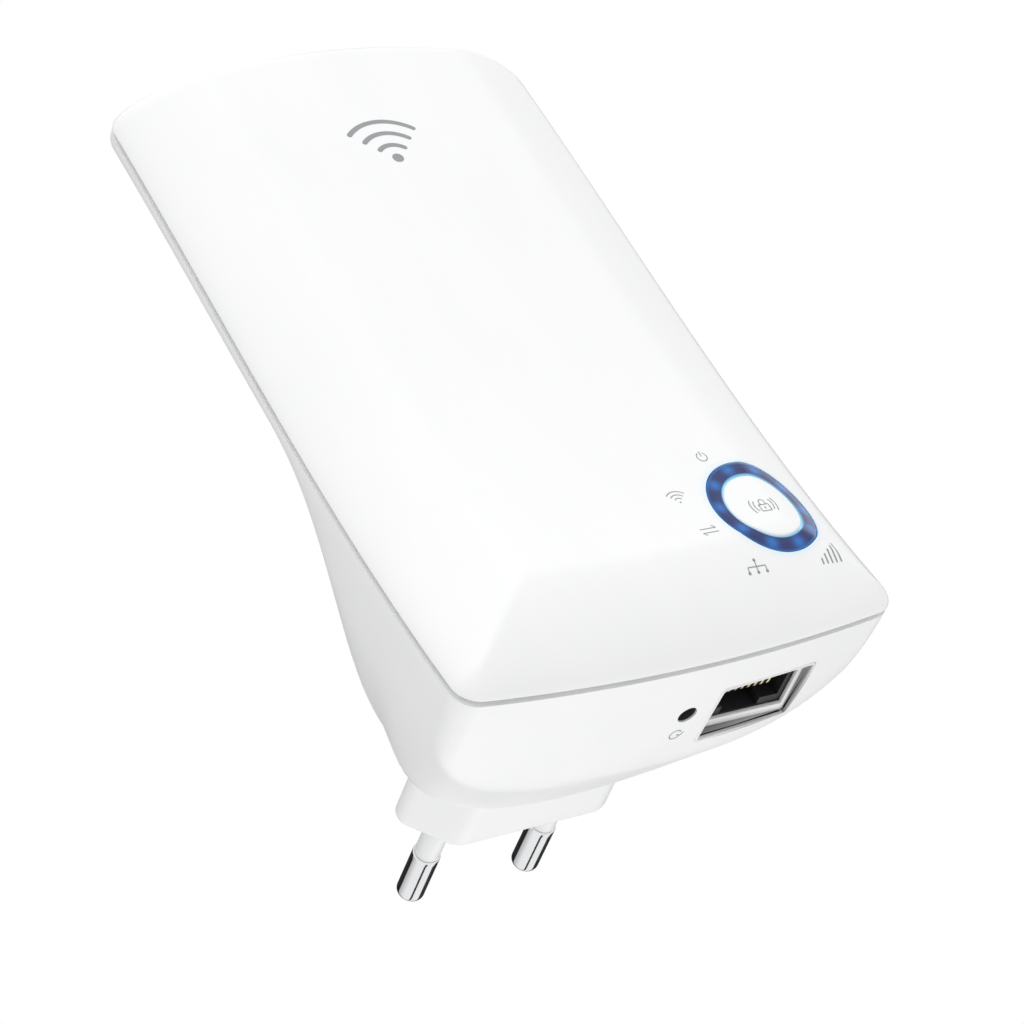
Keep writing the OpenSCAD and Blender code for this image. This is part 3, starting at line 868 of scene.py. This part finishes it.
def plug_section(grow):
    return section(plug_hi.x, plug_hi.z, PLUG_TIP, grow, PLUG_CORNER)


def pocket_outline(grow, corner):
    """The jack's pocket, wider by grow on every side, as (x, y) points."""
    return rounded_rectangle(POCKET_X0 - grow, POCKET_X1 + grow, POCKET_Y0 - grow, POCKET_Y1 + grow, corner)


def prism(name, outline_points, z0, z1):
    """A straight solid along Z over an outline of (x, y) points."""
    return loft(name, [[(x, y, z) for x, y in outline_points] for z in (z0, z1)], "face")


PLUG_TIP = 0.9
PLUG_CORNER = 1.6
seat_tool = loft("seat_tool", [[(x, y, z) for x, z in plug_section(0.1)] for y in (-20, 3)], "face")
pocket_tool = prism("pocket_tool", pocket_outline(0.5, 1.0), Z_LOW - 5, POCKET_FLOOR + 3)


def round_rings(x, y, profile, steps=64):
    """Rings round an axis along Z, from (radius, z) pairs."""
    rings = []
    for r, z in profile:
        ring = []
        for i in range(steps):
            t = 2 * math.pi * i / steps
            ring.append((x + r * math.cos(t), y + r * math.sin(t), z))
        rings.append(ring)
    return rings


reset_rings = round_rings(RESET_X, RESET_Y, [(RESET_R, Z_LOW - 5), (RESET_R, Z_LOW + 6)])
reset_tool = loft("reset_tool", reset_rings, "face")
label_tool = box_piece(
    "label_tool",
    label_lo.x - 0.1,
    label_hi.x + 0.1,
    label_lo.y,
    label_lo.y + 5,
    label_lo.z - 0.1,
    label_hi.z + 0.1,
)
cut(housing, [seat_tool, pocket_tool, reset_tool, label_tool])
keep_normals(housing, housing_skin)
settle(housing, housing_finish, "casing", "housing_white", "rear_housing")

# ---------------------------------------------------------------- plug body, pins and sleeves

EDGE = 1.1
plug_rings = []
for y in (plug_lo.y, -EDGE - 4):
    plug_rings.append([(x, y, z) for x, z in plug_section(0)])
for i in range(9):
    t = math.pi / 2 * i / 8
    grow = -EDGE * (1 - math.cos(t))
    y = -EDGE + EDGE * math.sin(t)
    plug_rings.append([(x, y, z) for x, z in plug_section(grow)])
plug = loft("plug_block", plug_rings, "face")
shade(plug, 40)
settle(plug, plug_finish, "casing", "housing_white", "plug_body")

for side, word in ((-1, "left"), (1, "right")):
    tip = 0.85
    profile = [(SLEEVE_R * 0.8, SLEEVE_END - 0.4), (SLEEVE_R - 0.12, SLEEVE_END - 0.02)]
    profile += [(SLEEVE_R + 0.02, SLEEVE_END - 0.05), (PIN_R - 0.05, SLEEVE_END + 0.02)]
    profile += [(PIN_R, SLEEVE_END + 0.12)]
    profile += [(PIN_R, mix(SLEEVE_END, PIN_END - tip, t)) for t in (0.1, 0.3, 0.5, 0.7, 0.85, 0.95)]
    for i in range(9):
        t = math.pi / 2 * i / 8
        profile.append((PIN_R - tip + tip * math.cos(t), PIN_END - tip + tip * math.sin(t)))
    profile += [(PIN_R * 0.35, PIN_END), (PIN_R * 0.05, PIN_END)]
    pin = lathe(f"{word}_pin_metal", profile, side * PIN_X, 0, 128)
    shade(pin, 35)
    settle(pin, chrome_finish, "casing", "pin_metal", f"{word}_pin")
    profile = [(SLEEVE_R - 0.3, -1.8)]
    profile += [(SLEEVE_R, y) for y in (-1.5, 0.5, 5, SLEEVE_END - 0.2)]
    profile += [(SLEEVE_R - 0.06, SLEEVE_END - 0.06), (SLEEVE_R - 0.2, SLEEVE_END - 0.03)]
    sleeve = lathe(f"{word}_sleeve_tube", profile, side * PIN_X, 0, 96)
    shade(sleeve, 35)
    settle(sleeve, sleeve_finish, "casing", "sleeve_grey", f"{word}_pin_sleeve")

# ---------------------------------------------------------------- jack: pocket liner, socket, contacts

PLATE_T = 0.6
POCKET_CORNER = 0.5
FILLET = 0.25
FILLET_H = 0.35
# Behind the wall, over the raised rim of the pocket's mouth, and just inside it
liner_rings = [[(x, y, POCKET_FLOOR + PLATE_T) for x, y in pocket_outline(0.48, POCKET_CORNER + 0.48)]]
for grow, lift in ((0.48, 0.1), (0.4, -0.08), (0.22, -0.16), (0.06, -0.1), (0.0, 0.08), (0.0, 0.5)):
    around = pocket_outline(grow, POCKET_CORNER + grow)
    liner_rings.append([(x, y, end_at(x, y) + lift) for x, y in around])
# Half-way down, and round the fillet at the floor
around = pocket_outline(0, POCKET_CORNER)
liner_rings.append([(x, y, mix(POCKET_FLOOR, end_at(x, y), 0.55)) for x, y in around])
for lift in (FILLET_H, 0.1, 0.0):
    shrink = FILLET * (1 - lift / FILLET_H) ** 2
    around = pocket_outline(-shrink, POCKET_CORNER - shrink * 0.5)
    liner_rings.append([(x, y, POCKET_FLOOR + lift) for x, y in around])
# The liner wears the pocket plastic, with painted shade on its rear and right walls
liner = loft("jack_pocket", liner_rings, "none")
shade(liner, 60)
settle(liner, pocket_finish, "casing", "housing_white")

floor_plate = box_piece(
    "jack_floor",
    POCKET_X0 - 0.3,
    POCKET_X1 + 0.3,
    POCKET_Y0 - 0.3,
    POCKET_Y1 + 0.3,
    POCKET_FLOOR,
    POCKET_FLOOR + PLATE_T,
)
face_x0 = JACK_X - 6.75
face_x1 = JACK_X + 6.75
face_y0 = PORT_FRONT - 0.1
face_y1 = PORT_FRONT + 8.5
notch_y = face_y0 + 0.8
notch_w = 0.7
opening = [(face_x0, notch_y), (face_x0 + notch_w, notch_y), (face_x0 + notch_w, face_y0)]
opening += [(face_x1 - notch_w, face_y0), (face_x1 - notch_w, notch_y), (face_x1, notch_y)]
opening += [(face_x1, face_y1), (face_x0, face_y1)]
mouth_tool = prism("mouth_tool", opening, POCKET_FLOOR - 1, POCKET_FLOOR + 2)
cut(floor_plate, [mouth_tool])
bevelled(floor_plate, 0.08, 2, 60)
shade(floor_plate, 35)
settle(floor_plate, pocket_finish, "casing", "housing_white")

# The mouth is stepped at its front corners, and has the latch's slot at the back
x0 = JACK_X - PORT_W / 2
x1 = JACK_X + PORT_W / 2
shoulder_y = PORT_FRONT + 1.1
shoulder_w = 1.3
latch_y = PORT_BACK - 1.3
latch_w = 3.0
mouth = [(x0, shoulder_y), (x0 + shoulder_w, shoulder_y), (x0 + shoulder_w, PORT_FRONT)]
mouth += [(x1 - shoulder_w, PORT_FRONT), (x1 - shoulder_w, shoulder_y), (x1, shoulder_y), (x1, latch_y)]
mouth += [(JACK_X + latch_w, latch_y), (JACK_X + latch_w, PORT_BACK)]
mouth += [(JACK_X - latch_w, PORT_BACK), (JACK_X - latch_w, latch_y), (x0, latch_y)]
socket_low = POCKET_FLOOR + PLATE_T + 0.02
socket = box_piece("jack_socket", jack_lo.x, jack_hi.x, jack_lo.y, jack_hi.y, socket_low, jack_hi.z)
bevelled(socket, 0.3, 3)
cavity = prism("cavity_tool", mouth, POCKET_FLOOR - 1, jack_hi.z - 4)
cut(socket, [cavity])
shade(socket, 35)
settle(socket, jack_finish, "casing", "jack_black", "jack_housing")


def tube(path, radius, steps=12):
    """A round wire along points in the plane of Y and Z, all at one x."""
    rings = []
    for i, (x, y, z) in enumerate(path):
        before = Vector(path[max(i - 1, 0)])
        after = Vector(path[min(i + 1, len(path) - 1)])
        along = (after - before).normalized()
        out = Vector((0, -along.z, along.y))
        ring_points = []
        for j in range(steps):
            t = 2 * math.pi * j / steps
            sideways = Vector((1, 0, 0)) * radius * math.cos(t)
            ring_points.append(Vector((x, y, z)) + sideways + out * radius * math.sin(t))
        rings.append(ring_points)
    return rings


WIRES = 8
WIRE_PITCH = 1.02
WIRE_R = 0.21
wire_points = []
wire_faces = []
for i in range(WIRES):
    x = JACK_X + (i - (WIRES - 1) / 2) * WIRE_PITCH
    path = []
    for j in range(15):
        t = j / 14
        y = PORT_FRONT + 0.7 + 4.75 * math.sin(t * math.pi / 2) ** 0.9
        z = POCKET_FLOOR + 0.95 + 0.4 * t + 4.5 * t**8
        path.append((x, y, z))
    rings = tube(path, WIRE_R)
    base_index = len(wire_points)
    n = len(rings[0])
    for ring_points in rings:
        wire_points += [tuple(p) for p in ring_points]
    for j in range(len(rings) - 1):
        for k in range(n):
            a = base_index + j * n + k
            b = base_index + j * n + (k + 1) % n
            wire_faces.append((a, b, b + n, a + n))
    wire_faces.append(tuple(base_index + k for k in range(n)))
    wire_faces.append(tuple(base_index + (len(rings) - 1) * n + k for k in range(n)))
wires = mesh_from("jack_wires", wire_points, wire_faces)
shade(wires, 50)
settle(wires, gold_finish, "casing", "contact_gold", "jack_contacts")

# ---------------------------------------------------------------- reset hole's tube and the rating label

mouth_z = end_at(RESET_X, RESET_Y)
tube_rings = round_rings(
    RESET_X,
    RESET_Y,
    [
        (RESET_R + 0.5, mouth_z + 1.2),
        (RESET_R + 0.5, mouth_z + 4.4),
        (RESET_R - 0.02, mouth_z + 4.4),
        (RESET_R - 0.02, mouth_z + 0.3),
    ],
)
# The tube's near-black colour is painted shade for the depth of the hole
reset_tube = loft("reset_tube", tube_rings, "loop")
shade(reset_tube, 40)
settle(reset_tube, hole_painted_shade, "casing", "housing_white")

label_rings = []
for shrink, y in ((0, label_lo.y + 0.02), (0, label_hi.y - 0.08), (0.08, label_hi.y)):
    around = rounded_rectangle(
        label_lo.x + shrink, label_hi.x - shrink, label_lo.z + shrink, label_hi.z - shrink, 1.2
    )
    label_rings.append([(x, y, z) for x, z in around])
label = loft("rating_label", label_rings, "face")
shade(label, 30)
settle(label, label_finish, "casing", "label_silver", "rating_plate")

# ---------------------------------------------------------------- printed marks


def arc(cx, cz, r, start, end, count=18):
    points = []
    for i in range(count + 1):
        t = math.radians(mix(start, end, i / count))
        points.append((cx + r * math.cos(t), cz + r * math.sin(t)))
    return points


def dot(cx, cz, r):
    """A small filled disc, drawn as one short fat stroke."""
    return ([(cx - r * 0.05, cz), (cx + r * 0.05, cz)], 2 * r)


def resampled(points, step):
    made = [Vector(points[0])]
    for a, b in zip(points, points[1:]):
        a = Vector(a)
        b = Vector(b)
        count = max(1, math.ceil((b - a).length / step))
        for i in range(1, count + 1):
            made.append(a.lerp(b, i / count))
    return made


def printed(name, strokes, body, meet, lift=0.012):
    """Ink strokes laid on a skin. A stroke is a line of (u, v) points and a width, with rounded ends."""
    points = []
    faces = []
    for line, width in strokes:
        path = resampled(line, 0.18)
        sides = []
        for i, p in enumerate(path):
            along = (path[min(i + 1, len(path) - 1)] - path[max(i - 1, 0)]).normalized()
            across = Vector((-along.y, along.x))
            sides.append((p, along, across))
        rows = []
        first, along, across = sides[0]
        for i in range(6, 0, -1):
            t = math.pi / 2 * i / 6
            rows.append((first - along * math.sin(t) * width / 2, across * math.cos(t)))
        for p, along, across in sides:
            rows.append((p, across))
        final, along, across = sides[-1]
        for i in range(1, 7):
            t = math.pi / 2 * i / 6
            rows.append((final + along * math.sin(t) * width / 2, across * math.cos(t)))
        start = len(points)
        for p, across in rows:
            for s in (-1, 0, 1):
                q = p + across * width / 2 * s
                points.append(meet(q.x, q.y, lift))
        for i in range(len(rows) - 1):
            for s in range(2):
                a = start + i * 3 + s
                faces.append((a, a + 1, a + 4, a + 3))
    piece = mesh_from(name, points, faces)
    shade(piece)
    settle(piece, ink_finish, body, "housing_white")
    return piece


def on_front(x, z, lift):
    return (x, front_at(x, z) - lift, z)


def on_cap(x, z, lift):
    return (x, front_at(x, z) + 0.035 - lift, z)


def on_end(x, y, lift):
    return (x, y, end_at(x, y) - lift)


THIN = 0.16
cx = RING_X - 0.2
cz = RING_Z - 0.2
case = [(cx - 0.75, cz + 0.15), (cx + 0.75, cz + 0.15), (cx + 0.75, cz - 1.0), (cx - 0.75, cz - 1.0)]
bow = [(cx - 0.42, cz + 0.15), (cx - 0.42, cz + 0.6)]
bow += arc(cx, cz + 0.6, 0.42, 180, 0, 12) + [(cx + 0.42, cz + 0.15)]
padlock = [
    (case + case[:1], THIN),
    (bow, THIN),
    ([(cx, cz - 0.3), (cx, cz - 0.55)], 0.2),
    (arc(cx, cz, 1.45, -35, 35), THIN),
    (arc(cx, cz, 1.45, 145, 215), THIN),
    (arc(cx, cz, 2.05, -32, 32), THIN),
    (arc(cx, cz, 2.05, 148, 212), THIN),
]
printed("button_marks", padlock, "button", on_cap, 0.02)

marks = []
# Round the ring: a power sign, a wireless sign, two opposite arrows, a network sign and rising bars
x, z = 14.8, 7.3
marks += [(arc(x, z, 0.75, 120, 420, 24), THIN), ([(x, z + 0.95), (x, z + 0.15)], THIN)]
x, z = 7.0, 1.0
marks += [(arc(x, z - 0.6, r, 45, 135, 14), THIN) for r in (0.7, 1.3, 1.9)]
marks += [dot(x, z - 0.65, 0.14)]
x, z = 8.0, -5.1
marks += [([(x - 1.2, z + 0.35), (x + 1.2, z + 0.35), (x + 0.75, z + 0.75)], THIN)]
marks += [([(x + 1.2, z - 0.35), (x - 1.2, z - 0.35), (x - 0.75, z - 0.75)], THIN)]
x, z = 12.0, -11.2
marks += [([(x - 1.4, z - 0.6), (x - 1.4, z), (x + 1.4, z), (x + 1.4, z - 0.6)], THIN)]
marks += [([(x, z - 0.6), (x, z + 0.7)], THIN)]
marks += [dot(x + u, z + v, 0.22) for u, v in ((-1.4, -0.75), (0, -0.75), (1.4, -0.75), (0, 0.85))]
x, z = 24.1, -10.9
for i in range(5):
    marks.append(([(x - 1.5 + i * 0.75, z - 1.2), (x - 1.5 + i * 0.75, z - 0.6 + i * 0.55)], 0.28))
printed("face_marks", marks, "casing", on_front)

# A plain wireless sign on the upper part of the face
x, z = -0.7, 65.6
sign = [(arc(x, z, r, 48, 132, 30), 0.75) for r in (2.9, 5.2, 7.5)]
sign += [dot(x, z + 0.4, 0.8)]
printed("face_sign", sign, "casing", on_front)

# A round arrow beside the reset hole
x = RESET_X - 0.2
y = RESET_Y + 4.0
turn_sign = [(arc(x, y, 0.85, 20, 320, 26), 0.2)]
turn_sign += [([(x + 0.25, y + 0.1), (x + 0.85, y + 0.35), (x + 1.15, y - 0.2)], 0.2)]
printed("reset_mark", turn_sign, "casing", on_end)

# ---------------------------------------------------------------- surroundings: floor, light, camera

floor_mesh = bpy.data.meshes.new("floor")
reach = 4.0
floor_z = -0.36
floor_corners = [(u * reach, v * reach, floor_z) for u, v in ((-1, -1), (1, -1), (1, 1), (-1, 1))]
floor_mesh.from_pydata(floor_corners, [], [(0, 1, 2, 3)])
floor = bpy.data.objects.new("floor", floor_mesh)
bpy.context.scene.collection.objects.link(floor)
pale = Finish("pale floor", Roughness=0.9)
floor_cloud = pale.noise(60.0, 2.0)
pale.feed("Base Color", pale.blend(floor_cloud, rgb(0.9, 0.9, 0.9), rgb(0.93, 0.93, 0.93)))
dress(floor, pale)
floor.visible_diffuse = False
floor.visible_glossy = False
floor.visible_shadow = False

scene = bpy.context.scene
world = bpy.data.worlds.new("studio")
scene.world = world
world.use_nodes = True
tree = world.node_tree
tree.nodes.clear()
where = add_node(tree, "ShaderNodeTexCoord", output="Generated")
to_x, to_y, to_z = add_node(tree, "ShaderNodeSeparateXYZ", None, {"Vector": where}, [0, 1, 2])
# Broad soft lights of the tent: the way to each, and its strength
LIGHTS = [
    ((0.66, 0.66, -0.34), 1.35),
    ((0.0, 0.5, -0.87), 0.84),
    ((0.0, 0.94, -0.34), 0.58),
    ((0.0, 0.5, 0.87), 0.43),
    ((-0.66, 0.66, -0.34), 0.97),
    ((-0.66, 0.66, 0.34), 0.27),
    ((-0.35, 0.35, 0.87), 0.21),
    ((-0.66, -0.66, 0.34), 1.2),
    ((0.0, -0.5, -0.87), 0.48),
    ((0.0, -0.94, 0.34), 0.82),
    ((0.0, -0.5, 0.87), 0.95),
    ((0.35, -0.35, -0.87), 0.42),
    ((0.66, -0.66, -0.34), 0.06),
    ((-0.45, -0.6, -0.66), 0.34),
    ((0.66, -0.66, 0.34), 0.62),
]
tent = 0.02
for way, strength in LIGHTS:
    towards = to_x * way[0] + to_y * way[1] + to_z * way[2]
    tent = towards.maths("MAXIMUM", 0.0) ** 4.0 * strength + tent
# Dark flags behind the part, met only by reflections: they draw the dark edges and the line on the pins
azimuth = to_z.maths("ARCTAN2", to_x)
behind = to_y.between(0.35, 0.5)
dark = azimuth.between(-0.72, -0.62) * (1.0 - azimuth.between(2.35, 2.5))
line = azimuth.between(-1.92, -1.89) * (1.0 - azimuth.between(-1.64, -1.61))
flags = (dark + line).maths("MINIMUM", 1.0) * behind
upper_left = to_z.between(-0.3, 0.5) * (1.0 - to_x.between(-0.4, 0.0)) * behind
reflected = (1.0 - flags * 0.97) * (1.0 - upper_left * 0.45)
# The ground is plain white to the camera, a white tent with its flags to reflections, soft lobes to the rest
is_camera, is_glossy = add_node(
    tree, "ShaderNodeLightPath", output=["Is Camera Ray", "Is Glossy Ray"]
)
level = tent * (1.0 - is_glossy) + reflected * is_glossy
level = level * (1.0 - is_camera) + is_camera
light = add_node(
    tree, "ShaderNodeBackground", None, {"Strength": level, "Color": rgb(1.0, 1.0, 1.0)}
)
add_node(tree, "ShaderNodeOutputWorld", None, {"Surface": light}, [])

camera_data = bpy.data.cameras.new("camera")
camera = bpy.data.objects.new("camera", camera_data)
scene.collection.objects.link(camera)
scene.camera = camera
camera_data.sensor_width = 36.0
camera_data.lens = 111.7
camera_data.clip_start = 0.01
camera_data.clip_end = 20.0
forward = Vector((0.5253, 0.6705, 0.5239)).normalized()
right = Vector((0.8360, -0.2917, -0.4648))
up = right.cross(forward).normalized()
right = forward.cross(up)
turned = Matrix((right, up, -forward)).transposed()
camera.matrix_world = Matrix.Translation(Vector((-0.2206, -0.3165, -0.1998))) @ turned.to_4x4()

scene.view_settings.view_transform = "Standard"
scene.view_settings.look = "None"
scene.view_settings.exposure = 0.0
scene.cycles.max_bounces = 8
scene.cycles.diffuse_bounces = 4
scene.cycles.glossy_bounces = 4
